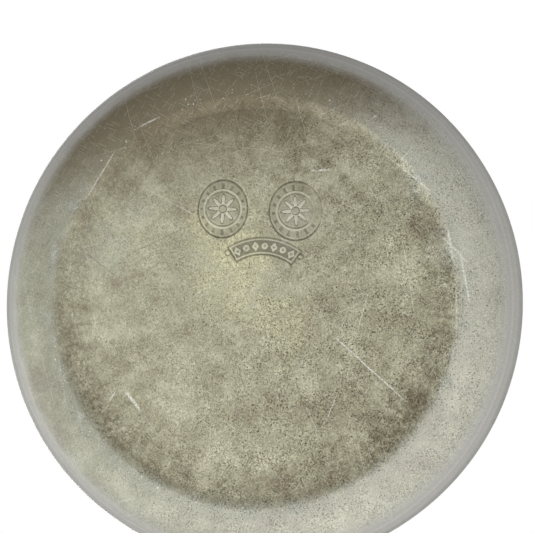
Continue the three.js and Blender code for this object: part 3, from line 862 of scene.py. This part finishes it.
# Height and darkness of an oval mark: a compass star on a boss, in a ring, with leaf-shaped cuts round it.
def ovalMark(right, up, given, line):
    a = right - given["at"][0]
    b = up - given["at"][1]
    c, s = math.cos(given["turn"]), math.sin(given["turn"])
    a, b = a * c - b * s, a * s + b * c
    mean = (given["half"][0] + given["half"][1]) / 2
    off = (np.hypot(a / given["half"][0], b / given["half"][1]) - 1) * mean
    inside = smooth(-off, 0.0, 0.25)
    border = dip(off, line)
    r = np.hypot(a, b)
    angle = np.arctan2(a, b)
    star = 1.35 + 2.3 * np.abs(np.cos(angle * given["points"] / 2)) ** 2.6
    body = smooth(star - r, 0.0, 0.25)
    edge = dip(star - r + 0.12, line * 0.9) * (r < 4.1)
    boss = dip(r - 0.95, line * 0.85)
    ring = dip(r - 4.25, line * 0.8)
    rim = dip(r - 4.75, line * 0.8) * inside
    cuts = smooth(np.cos(angle * 16 + 0.6), 0.1, 0.8) * smooth(-off, 0.55, 0.8) * smooth(r, 4.95, 5.15)
    worn = 1 - 0.7 * smooth(a, given["wornFrom"], given["wornFrom"] + 3.0) * smooth(b, -4.5, -2.5)
    height = 0.2 * body + 0.28 * rim - 0.16 * inside - 0.75 * border
    height -= 0.45 * edge + 0.4 * boss + 0.35 * ring + 0.3 * cuts
    dark = np.maximum.reduce([0.95 * border, 0.24 * inside, 0.85 * edge, 0.8 * boss, 0.75 * ring, 0.7 * cuts])
    pale = np.maximum(0.30 * body * (r > 1.1) * (1 - edge), 0.34 * rim)
    worn *= 0.8 + 0.2 * smooth(np.sin(a * 1.9 + 1) * np.cos(b * 1.3), -0.6, 0.2)
    dark = dark * (1 - smooth(pale, 0.05, 0.3)) - pale
    return height * worn, dark * (0.3 * border + (1 - 0.3 * border) * worn), inside


# The arched label: a band with rolled ends, and a row of lozenges and discs on a dark ground.
def labelMark(right, up, given, line):
    a, b = right - given["middle"][0], up - given["middle"][1]
    r = np.hypot(a, b)
    angle = np.degrees(np.arctan2(a, b)) - given["turn"]
    middle = (given["outer"] + given["inner"]) / 2
    along = np.radians(angle) * middle
    half = math.radians(given["reach"]) * middle
    across = r - middle
    depth = (given["outer"] - given["inner"]) / 2
    off = np.maximum(np.abs(across) - depth, np.abs(along) - half)
    inside = smooth(-off, 0.0, 0.2)
    border = dip(off, line)
    inset = dip(off + 0.42, line * 0.7)
    end = 0.4  # left free at both ends of the row
    pitch = 2 * (half - end) / given["lozenges"]
    index = np.clip(np.floor((along + half - end) / pitch), 0, given["lozenges"] - 1)
    local = along + half - end - (index + 0.5) * pitch
    lozenge = 1.22 - (np.abs(local) * 1.2 + np.abs(across) * 0.9)
    dot = 0.95 - np.hypot(local, across)
    shape = np.where(index % 2 == 0, lozenge, dot)
    raised = smooth(shape, 0.0, 0.22)
    hollow = dip(np.hypot(local, across), 0.36)
    curls = 0
    for side in (-1, 1):
        curls = curls + dip(np.hypot(along - side * (half + 0.6), across - 1.0) - 0.7, line * 0.8)
    ground = inside * (1 - raised)
    height = 0.2 * raised * inside + 0.2 * inset
    height -= 0.45 * ground + 0.6 * border + 0.25 * hollow * inside + 0.4 * curls
    sunk = ground * smooth(-off, 0.5, 0.7)
    dark = np.maximum.reduce([0.66 * sunk, 0.75 * border, 0.5 * hollow * inside, 0.6 * curls])
    return height, dark - 0.34 * raised * inside * (1 - hollow) - 0.15 * inset * inside, inside


# Steps from -1 to 1 that are fine between start and end.
def lanes(start, end, fine, coarse):
    left = np.linspace(-1.0, start, int((start + 1.0) / coarse) + 1)
    middle = np.linspace(start, end, int((end - start) / fine) + 1)
    right = np.linspace(end, 1.0, int((1.0 - end) / coarse) + 1)
    return np.concatenate([left[:-1], middle, right[1:]])


def makeBaseDisc(given, struck):
    low, high = mm(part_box("base_disc")[0]), mm(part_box("base_disc")[1])
    bottom, top = low.z, high.z
    flat = high.x - given["arris"]
    across = lanes(*given["fineAcross"], given["fine"], given["coarse"])
    along = lanes(*given["fineUp"], given["fine"], given["coarse"])
    x, y = np.meshgrid(across, along)
    right = x * np.sqrt(1 - y * y / 2) * flat
    up = y * np.sqrt(1 - x * x / 2) * flat
    height, dark, mark = np.zeros_like(right), np.zeros_like(right), np.zeros_like(right)
    for label, draw in (("left", ovalMark), ("right", ovalMark), ("label", labelMark)):
        cut, darker, area = draw(right, up, struck[label], struck["line"])
        height, dark, mark = height + cut, dark + darker, np.maximum(mark, area)
    rows, columns = right.shape
    places = list(zip(right.ravel(), up.ravel()))
    uneven = np.array([noise.noise(Vector((a * 0.06, b * 0.06, 1.7))) for a, b in places])
    level = bottom - height.ravel() * struck["depth"] + given["unevenness"] * uneven
    verts = [(-b, -a, z) for (a, b), z in zip(places, level)]
    faces = [(i * columns + k, (i + 1) * columns + k, (i + 1) * columns + k + 1, i * columns + k + 1)
             for i in range(rows - 1) for k in range(columns - 1)]
    rim = list(range(columns)) + [i * columns + columns - 1 for i in range(1, rows)]
    rim += [(rows - 1) * columns + k for k in range(columns - 2, -1, -1)]
    rim += [i * columns for i in range(rows - 2, 0, -1)]
    arris = given["arris"]
    loop = rim
    for grow, z in ((0.8 * arris, bottom + 0.04), (arris, bottom + 0.16), (arris, top - 0.3), (0.1, top)):
        fresh = []
        for index in rim:
            vx, vy = verts[index][0], verts[index][1]
            size = math.hypot(vx, vy)
            fresh.append(len(verts))
            verts.append((vx / size * (flat + grow), vy / size * (flat + grow), z))
        faces += between(loop, fresh)
        loop = fresh
    centre = len(verts)
    verts.append((0, 0, top))
    faces += [(here, after, centre) for here, after in around(loop)]
    mesh = meshOf("base_plate", verts, faces)
    for label, values in (("struck", dark), ("mark", mark)):
        paint(mesh, label, np.append(values.ravel(), np.zeros(len(verts) - values.size)))
    settle("base_plate", mesh, materials["base"], "body", ["base_disc"])


makeBaseDisc(disc, marks)
print("foot and base ready")


# Drum: a Geometry Nodes tree wraps a grid round the axis, tapers it, folds it over the lip and cuts its lines

def newPieceTree(name, inputs):
    return newGroup(name, "GeometryNodeTree", {**inputs, "Material": "Material"}, {"Geometry": "Geometry"})


def finishTree(tree, given, made, geometry):
    whole = add(tree, "GeometryNodeRealizeInstances", {0: geometry}).outputs[0]
    painted = add(tree, "GeometryNodeSetMaterial", {0: whole, "Material": given.outputs["Material"]})
    tree.links.new(painted.outputs[0], made.inputs["Geometry"])
    return tree


# The mesh that a working object's modifiers or curve give. The object itself goes.
def baked(carrier):
    bpy.context.view_layer.update()
    result = carrier.evaluated_get(bpy.context.evaluated_depsgraph_get())
    mesh = bpy.data.meshes.new_from_object(result)
    carrier.modifiers.clear()
    bpy.data.objects.remove(carrier)
    return mesh


def grown(name, tree, values, start=None):
    work = bpy.data.objects.new(name + "_work", start or bpy.data.meshes.new(name + "_work"))
    bpy.context.scene.collection.objects.link(work)
    modifier = work.modifiers.new("tree", "NODES")
    modifier.node_group = tree
    for item in tree.interface.items_tree:
        if item.item_type == "SOCKET" and item.in_out == "INPUT" and item.name in values:
            modifier[item.identifier] = values[item.name]
    mesh = baked(work)
    mesh.name = name
    return mesh


def makeDrumTree(given):
    tree, source, made = newPieceTree("drumTree", dict.fromkeys((
        "Foot Radius", "Lip Radius", "Foot Height", "Lip Height", "Wall", "Line Depth", "Line Width", "Dent",
    ), "Float"))
    grid = add(tree, "GeometryNodeMeshGrid", {
        "Size X": 1.0, "Size Y": 1.0, "Vertices X": given["sides"] + 1, "Vertices Y": given["rows"] + 1})
    across, along = parted(tree, add(tree, "GeometryNodeInputPosition").outputs[0])[:2]
    angle = times(tree, across, -2 * math.pi)
    walk = maths(tree, "ADD", along, 0.5)  # 0 to 1 up the outside, over the lip and down the inside
    rise = minus(tree, 1.0, maths(tree, "ABSOLUTE", timesPlus(tree, walk, 2.0, -1.0)))
    rise = times(tree, rise, 1.012, clamp=True)
    inner = times(tree, step(tree, walk, 0.4945, 0.5055), step(tree, walk, 0.993, 1.0, 1.0, 0.0))
    span = minus(tree, source.outputs["Lip Height"], source.outputs["Foot Height"])
    height = timesPlus(tree, rise, span, source.outputs["Foot Height"])
    narrowing = minus(tree, source.outputs["Lip Radius"], source.outputs["Foot Radius"])
    radius = timesPlus(tree, rise, narrowing, source.outputs["Foot Radius"])
    outside = minus(tree, 1.0, inner)
    for level in given["lines"]:
        off = maths(tree, "DIVIDE", minus(tree, height, level), source.outputs["Line Width"])
        groove = maths(tree, "EXPONENT", times(tree, times(tree, off, off), -1.0))
        cut = times(tree, times(tree, groove, outside), source.outputs["Line Depth"])
        radius = minus(tree, radius, cut)
    right, back = maths(tree, "COSINE", angle), maths(tree, "SINE", angle)
    circle = joined(tree, right, back, times(tree, height, 0.02))
    bumps = minus(tree, cloud(tree, circle, 2.2, 2.0), 0.5)
    radius = timesPlus(tree, bumps, source.outputs["Dent"], radius)
    radius = minus(tree, radius, times(tree, inner, source.outputs["Wall"]))
    spot = joined(tree, times(tree, right, radius), times(tree, back, radius), height)
    wrapped = add(tree, "GeometryNodeSetPosition", {
        "Geometry": grid.outputs[0], "Position": scaled(tree, spot, millimetre)})
    closed = add(tree, "GeometryNodeMergeByDistance", {
        "Geometry": wrapped.outputs[0], "Distance": 0.005 * millimetre})
    return finishTree(tree, source, made, closed.outputs[0])


def makeDrum(given):
    low, high = mm(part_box("drum")[0]), mm(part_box("drum")[1])
    mesh = grown("drum_shell", makeDrumTree(given), {
        "Foot Radius": high.x, "Lip Radius": given["lipRadius"], "Foot Height": low.z, "Lip Height": high.z,
        "Wall": given["wall"], "Line Depth": given["lineDepth"], "Line Width": given["lineWidth"],
        "Dent": given["dent"], "Material": materials["body"]})
    settle("drum_shell", mesh, materials["body"], "body", ["drum"])


makeDrum(drum)


# Reeded bands

band = {"smallReed": 0.26, "root": 0.3, "smallReach": 0.75, "gap": 0.3, "fillet": 2.4, "lip": 2.4}


def bandOutline(node, depth, given):
    low, high = mm(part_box(node)[0]), mm(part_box(node)[1])
    height = high.z - low.z
    small = height * given["smallReed"]
    smallDepth = depth * given["smallReach"]

    def inner(z):
        return drumAt(z) + 0.05

    def reed(start, size, reach):
        middle = start + size / 2
        root = drumAt(middle) + given["gap"] + depth * given["root"]
        return arc(root, middle, reach - depth * given["root"] - given["gap"], size / 2, -84, 84, 10)

    return [
        (inner(low.z), low.z), *reed(low.z, small, smallDepth),
        *reed(low.z + small, height - 2 * small, depth),
        *reed(high.z - small, small, smallDepth), (inner(high.z), high.z),
    ]


turned("body_reeding", bandOutline("body_fillet", band["fillet"], band), materials["body"], "body",
       ["body_fillet"], reach=0.12, gap=0.8, wobble=0.08, seed=5)
turned("lip_reeding", bandOutline("lip_band", band["lip"], band), materials["body"], "body",
       ["lip_band"], reach=0.12, gap=0.8, wobble=0.06, seed=6)
print("drum and bands ready")


# Lid

lid = {
    "wall": 2.0, "flange": 5.5, "rise": 7.5, "depth": 7.0, "scotiaDepth": 3.0, "scotiaRise": 1.6,
    "dome": 10.5, "ring": 12.0, "bezelWall": 1.2,
}


def grooved(points, radius, width, depth):
    return [(r, z - depth * math.exp(-((r - radius) / width) ** 2)) for r, z in points]


def lidOutline(given):
    low, high = mm(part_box("lid_dome")[0]), mm(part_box("lid_dome")[1])
    rim, seat = high.x, low.z
    flangeTop = seat + given["wall"]
    domeFoot = rim - given["flange"]
    scotia = domeFoot - given["depth"]
    domeRadius = scotia - given["scotiaDepth"]
    domeBase = flangeTop + given["rise"] + given["scotiaRise"]
    flange = [(r, flangeTop) for r in np.linspace(rim - 0.8, domeFoot, 12)]
    flange = grooved(grooved(flange, rim - 1.9, 0.3, 0.25), domeFoot + 1.2, 0.3, 0.22)
    crown = arc(0, domeBase, domeRadius, given["dome"], 0, 90, 60)[1:]
    crown = grooved(grooved(crown, given["ring"], 0.35, 0.22), given["ring"] + 1.4, 0.35, 0.22)
    wall = given["wall"]
    return [
        # inside, from the crown down to the seat
        (0, domeBase + given["dome"] - wall),
        *arc(0, domeBase - wall, domeRadius - wall, given["dome"], 89, 20, 14),
        *arc(scotia - 0.8, flangeTop, given["depth"] - wall + 0.8, given["rise"] - wall, 90, 0, 10),
        (domeFoot - wall, seat),
        # round the rim and back up the outside
        *arc(rim - 0.6, seat + wall / 2, 0.6, wall / 2, -80, 80, 8), *flange,
        *arc(scotia, flangeTop, given["depth"], given["rise"], 2, 90, 18),
        *arc(scotia, domeBase, given["scotiaDepth"], given["scotiaRise"], -90, -180, 8), *crown,
    ]


def bezelOutline(given):
    low, high = mm(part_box("lid_bezel")[0]), mm(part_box("lid_bezel")[1])
    seat = mm(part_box("lid_dome")[0]).z
    tongue = mm(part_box("lid_dome")[1]).x - given["flange"] - given["wall"] - 0.3
    inner, outer, top = tongue - given["bezelWall"], high.x, seat - 0.05
    return [(inner, low.z), (outer - 0.5, low.z), (outer, low.z + 0.5), (outer, top), (tongue, top),
            (tongue, high.z), (inner, high.z)]


turned("lid_double_dome", lidOutline(lid), materials["body"], "lid", ["lid_dome"],
       gap=1.2, wobble=0.1, seed=8)
turned("lid_inner_rim", bezelOutline(lid), materials["body"], "lid", ["lid_bezel"], reach=0.2)
print("lid ready")


# Handle: a Geometry Nodes tree sweeps a tapering oval along the handle's curve

handle = {
    "width": 17.0, "depth": 11.5, "tail": 0.58, "reach": 45.0, "socketDepth": 5.0, "strutHeight": 52.0,
    "strutReach": 10.0, "tailReach": 14.0, "clearance": 2.0, "ball": 6.2, "sides": 40, "rows": 170,
}


def handlePoints(given):
    lipBand = mm(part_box("lip_band")[0]).z
    lip = mm(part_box("drum")[1]).z
    start = drumAt(lip) + given["socketDepth"] + 3
    topZ = lipBand - given["depth"] / 2 - 3
    gripX = drumAt(lip / 2) + given["reach"]
    strutZ = given["strutHeight"]
    strutX = drumAt(strutZ) + given["strutReach"]
    tailX = mm(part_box("drum")[1]).x + given["tailReach"]
    tailZ = foot["widest"] + foot["noseRise"] + foot["step"] + given["clearance"] + given["ball"] * 2.1
    reach, drop, tailDrop = gripX - start, topZ - strutZ, strutZ - tailZ
    return [
        (start, topZ), (start + reach * 0.23, topZ + drop * 0.018),
        (start + reach * 0.56, topZ - drop * 0.016), (start + reach * 0.86, topZ - drop * 0.14),
        (gripX, topZ - drop * 0.34), (gripX - reach * 0.08, topZ - drop * 0.56),
        (gripX - reach * 0.33, topZ - drop * 0.72), (strutX + reach * 0.14, strutZ + drop * 0.14),
        (strutX + 0.6, strutZ - 1), (strutX + (tailX - strutX) * 0.3, strutZ - tailDrop * 0.55),
        (tailX + 2, tailZ),
    ]


# The place at u between two places that are reached at start and end.
def blend(first, second, start, end, u):
    return (end - u) / (end - start) * first + (u - start) / (end - start) * second


# A centripetal spline through points, as (x, z) rows.
def splineThrough(points, steps=24):
    knots = [np.array(p, float) for p in points]
    knots = [2 * knots[0] - knots[1], *knots, 2 * knots[-1] - knots[-2]]
    found = []
    for a, b, c, d in zip(knots, knots[1:], knots[2:], knots[3:]):
        t = np.cumsum([0] + [math.sqrt(np.linalg.norm(q - p)) for p, q in ((a, b), (b, c), (c, d))])
        for u in np.linspace(t[1], t[2], steps, endpoint=False):
            first = [blend(p, q, t[i], t[i + 1], u) for i, (p, q) in enumerate(((a, b), (b, c), (c, d)))]
            second = [blend(first[i], first[i + 1], t[i], t[i + 2], u) for i in (0, 1)]
            found.append(blend(*second, t[1], t[2], u))
    found.append(knots[-2])
    return np.array(found)


def makeHandleTree(given):
    tree, source, made = newPieceTree("handleTree", {
        "Path": "Geometry", "Width": "Float", "Depth": "Float", "Tail Share": "Float"})
    path = add(tree, "GeometryNodeMeshToCurve", {0: source.outputs["Path"]}).outputs[0]
    even = add(tree, "GeometryNodeResampleCurve", {0: path, "Count": given["rows"]}).outputs[0]
    facing = add(tree, "GeometryNodeSetCurveNormal", {0: even, "Normal": (0, 1, 0)}, mode="FREE").outputs[0]
    along = add(tree, "GeometryNodeSplineParameter").outputs["Factor"]
    taper = add(tree, "ShaderNodeMapRange", {0: along, 3: 1.0, 4: source.outputs["Tail Share"]}).outputs[0]
    ring = add(tree, "GeometryNodeCurvePrimitiveCircle", {"Resolution": given["sides"], "Radius": 0.5})
    size = joined(tree, source.outputs["Width"], source.outputs["Depth"], 1.0)
    oval = add(tree, "GeometryNodeTransform", {0: ring.outputs[0], "Scale": size}).outputs[0]
    swept = add(tree, "GeometryNodeCurveToMesh", {0: facing, 1: oval, "Scale": taper, "Fill Caps": True})
    return finishTree(tree, source, made, swept.outputs[0])


handleLine = splineThrough(handlePoints(handle))


def makeHandle(given):
    line = bpy.data.meshes.new("handleLine")
    spots = [(x * millimetre, 0, z * millimetre) for x, z in handleLine]
    line.from_pydata(spots, [(i, i + 1) for i in range(len(spots) - 1)], [])
    mesh = grown("handle_grip", makeHandleTree(given), {
        "Width": given["width"] * millimetre, "Depth": given["depth"] * millimetre,
        "Tail Share": given["tail"], "Material": materials["cast"]}, line)
    settle("handle_grip", mesh, materials["cast"], "body", ["handle_shell"])


makeHandle(handle)


# Small castings of the handle: oval or round, turned about a line, then set in place

def turnedAlong(name, outline, base, way, node, widen=(1, 1), steps=72):
    piece = turned(name, outline, materials["cast"], "body", [],
                   steps=steps, reach=0.3, gap=0.8)
    turn = Vector((0, 0, 1)).rotation_difference(Vector(way)).to_matrix().to_4x4()
    if abs(Vector(way).normalized().x) > 0.99:
        turn = Matrix(((0, 0, 1, 0), (0, 1, 0, 0), (-1, 0, 0, 0), (0, 0, 0, 1)))
    across = Matrix.Diagonal((widen[0], widen[1], 1, 1))
    piece.data.transform(Matrix.Translation(Vector(base) * millimetre) @ turn @ across)
    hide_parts(node)


socket = {  # the collar's steps as (half width, distance from the handle's end), in shares of width
    "width": 17.0,
    "collar": ((8.1, -3.9), (8.1, -3.2), (8.5, -2.9), (8.5, -0.8), (8.0, -0.2), (7.2, 0)),
}


def makeSocket(given):
    low, high = mm(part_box("handle_socket")[0]), mm(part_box("handle_socket")[1])
    long = high.x - low.x
    collar = [(r / given["width"], long + z) for r, z in given["collar"]]
    outline = [(0, 0), (0.5, 0), (0.5, long - 4.2), *collar, (0, long)]
    base = (low.x, 0, (low.z + high.z) / 2)
    size = (high.z - low.z, high.y - low.y)
    turnedAlong("socket_collar", outline, base, (1, 0, 0), "handle_socket", widen=size)


strut = {"root": 1.0, "past": 0.2, "waist": 1.2, "waistRise": 2.4}


def makeStrut(given):
    low, high = mm(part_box("handle_strut")[0]), mm(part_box("handle_strut")[1])
    long, radius = high.x - low.x + given["root"] + given["past"], (high.z - low.z) / 2
    outline = [
        (0, 0), (radius + 0.5, 0), (radius + 0.5, given["root"]),
        *arc(radius + 0.3, 3.6, given["waist"] + 0.3, given["waistRise"], -100, -180, 6),
        (radius - 1.0, long - 1.5), (radius - 0.7, long), (0, long),
    ]
    base = (low.x - given["root"], 0, (low.z + high.z) / 2)
    turnedAlong("lower_strut", outline, base, (1, 0, 0), "handle_strut")


def makeTailBall(ball):
    neck, top = ball * 0.56, ball * 2.1
    outline = [
        (0, -0.4), (neck, -0.4), (neck + 0.9, 0.7), (neck + 0.9, 1.5), (neck, 2.2), (ball * 0.62, 2.8),
        *arc(0, ball * 1.1, ball, ball, -48, 78, 22), (1.5, top - 0.15), (1.2, top + 0.1), (0, top + 0.25),
    ]
    before, end = handleLine[-4], handleLine[-1]
    way = Vector((end[0] - before[0], 0, end[1] - before[1])).normalized()
    turnedAlong("tail_ball", outline, (end[0], 0, end[1]), way, "handle_terminal")


makeSocket(socket)
makeStrut(strut)
makeTailBall(handle["ball"])
print("handle ready")


# Hinge and thumbpiece

hinge = {"lug": 4.2, "bevel": 0.35, "capRise": 1.15}


# A cut casting keeps its CAD shape and gets soft arrises.
def dressed(name, node, body, bevel):
    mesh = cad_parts[node].data.copy()
    work = bmesh.new()
    work.from_mesh(mesh)
    bmesh.ops.remove_doubles(work, verts=work.verts, dist=0.02 * millimetre)
    bmesh.ops.dissolve_limit(work, angle_limit=math.radians(1.5), verts=work.verts, edges=work.edges)
    work.to_mesh(mesh)
    work.free()
    carrier = bpy.data.objects.new(name + "_work", mesh)
    bpy.context.scene.collection.objects.link(carrier)
    cut = carrier.modifiers.new("arris", "BEVEL")
    cut.width = bevel * millimetre
    cut.segments = 3
    cut.limit_method = "ANGLE"
    cut.angle_limit = math.radians(38)
    cut.use_clamp_overlap = True
    made = baked(carrier)
    work = bmesh.new()
    work.from_mesh(made)
    edge = work.verts.layers.float.new("edge")
    for vert in work.verts:
        sharpest = max((e.calc_face_angle_signed(0) for e in vert.link_edges if e.is_manifold), default=0)
        vert[edge] = min(1, sharpest * 1.6) if sharpest > 0.15 else 0
    work.to_mesh(made)
    work.free()
    settle(name, made, materials["cast"], body, [node])


dressed("hinge_block", "handle_hinge_block", "body", hinge["bevel"])
dressed("hinge_strap", "lid_hinge_strap", "lid", hinge["bevel"])


def makeCap(name, side, given):
    node = "hinge_cap_" + name
    low, high = mm(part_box(node)[0]), mm(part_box(node)[1])
    radius = given["lug"] - 0.1
    crown = arc(0, 0.5, radius - 0.5, given["capRise"], 12, 84, 12)
    outline = [(0, -0.25), (radius, -0.25), (radius, 0.5), *crown, (0, 0.5 + given["capRise"])]
    base = ((low.x + high.x) / 2, low.y if side > 0 else high.y, (low.z + high.z) / 2)
    turnedAlong("pin_cap_" + name, outline, base, (0, side, 0), node, steps=48)


makeCap("left", 1, hinge)
makeCap("right", -1, hinge)
print("hinge ready")


thumb = {"height": 25.0, "width": 25.0, "thick": 3.0, "lean": 9.0, "round": 0.75}


def bezier(p, q, r, s, count=18):
    t = np.linspace(0, 1, count, endpoint=False)[:, None]
    p, q, r, s = (np.array(v, float) for v in (p, q, r, s))
    curve = (1 - t) ** 3 * p + 3 * (1 - t) ** 2 * t * q + 3 * (1 - t) * t * t * r + t ** 3 * s
    return [tuple(v) for v in curve]


def makeThumbpiece(given):
    half, tall, soft = given["width"] / 2, given["height"], given["round"]
    side = [*bezier((half * 0.42, 0), (half * 0.5, tall * 0.3), (half, tall * 0.35), (half, tall * 0.66)),
            *bezier((half, tall * 0.66), (half, tall * 0.9), (half * 0.5, tall * 0.86), (0, tall))]
    outline = [(-half * 0.42, 0)] + side + [(0, tall)] + [(-x, y) for x, y in reversed(side)][:-1]
    rings = [outline]
    for way in (1, -1):  # the two eyes
        rings.append(arc(way * half * 0.48, tall * 0.62, half * 0.22 + soft, tall * 0.16 + soft, 0, 350, 35))
    curve = bpy.data.curves.new("thumbplate", "CURVE")
    curve.dimensions = "2D"
    curve.fill_mode = "BOTH"
    curve.extrude = (given["thick"] / 2 - soft) * millimetre
    curve.bevel_depth = soft * millimetre
    curve.bevel_resolution = 4
    curve.offset = -soft * millimetre
    for ring in rings:
        spline = curve.splines.new("POLY")
        spline.points.add(len(ring) - 1)
        spline.use_cyclic_u = True
        for point, (x, y) in zip(spline.points, ring):
            point.co = (x * millimetre, y * millimetre, 0, 1)
    carrier = bpy.data.objects.new("thumbplate", curve)
    bpy.context.scene.collection.objects.link(carrier)
    mesh = baked(carrier)
    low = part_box("thumbpiece")[0]
    upright = Matrix.Rotation(math.radians(90), 4, "X")
    facing = Matrix.Rotation(math.radians(90), 4, "Z")
    lean = Matrix.Rotation(math.radians(given["lean"]), 4, "Y")
    mesh.transform(lean @ facing @ upright)
    work = bmesh.new()
    work.from_mesh(mesh)
    bmesh.ops.remove_doubles(work, verts=work.verts, dist=0.004 * millimetre)
    work.to_mesh(mesh)
    work.free()
    spots = np.array([v.co for v in mesh.vertices])
    sink = 0.3 * millimetre  # into the strap's solder
    mesh.transform(Matrix.Translation((low.x - spots[:, 0].min(), 0, low.z - sink - spots[:, 2].min())))
    settle("thumb_plate", mesh, materials["cast"], "lid", ["thumbpiece"])


makeThumbpiece(thumb)
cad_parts["hinge_pin"].data.materials.clear()
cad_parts["hinge_pin"].data.materials.append(materials["pin"])
print("thumbpiece and pin ready")
